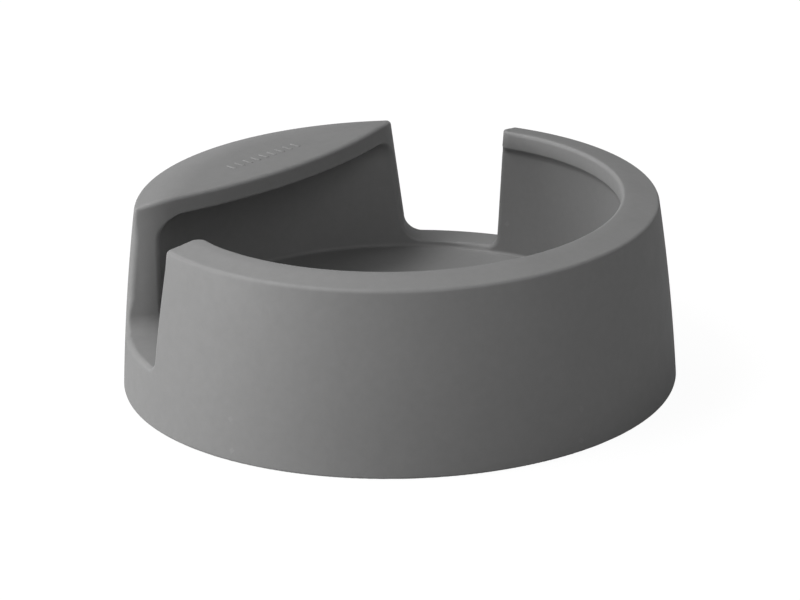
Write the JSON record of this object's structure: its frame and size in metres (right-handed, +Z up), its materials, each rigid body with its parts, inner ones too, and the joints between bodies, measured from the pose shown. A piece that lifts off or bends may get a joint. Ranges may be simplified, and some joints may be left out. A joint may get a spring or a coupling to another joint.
{
  "type": "lid and ladle stand",
  "caption": "low round stand of matte grey moulded rubber with an open bowl for a ladle, an arc-shaped slot for a pan lid and a shelf over an open pocket",
  "frame": {"origin": "centre of the underside, on the surface the stand rests on", "axes": "+Z up; X along the slot; +Y towards the shelf, -Y towards the open bowl; the plane X = 0 is the mirror plane"},
  "size_m": [0.1499, 0.15, 0.052],
  "materials": {
    "silicone": "fine matte, even grey, soft sheen at rounded edges"
  },
  "bodies": {
    "root": {"stand_body": "silicone"}
  },
  "joints": []
}
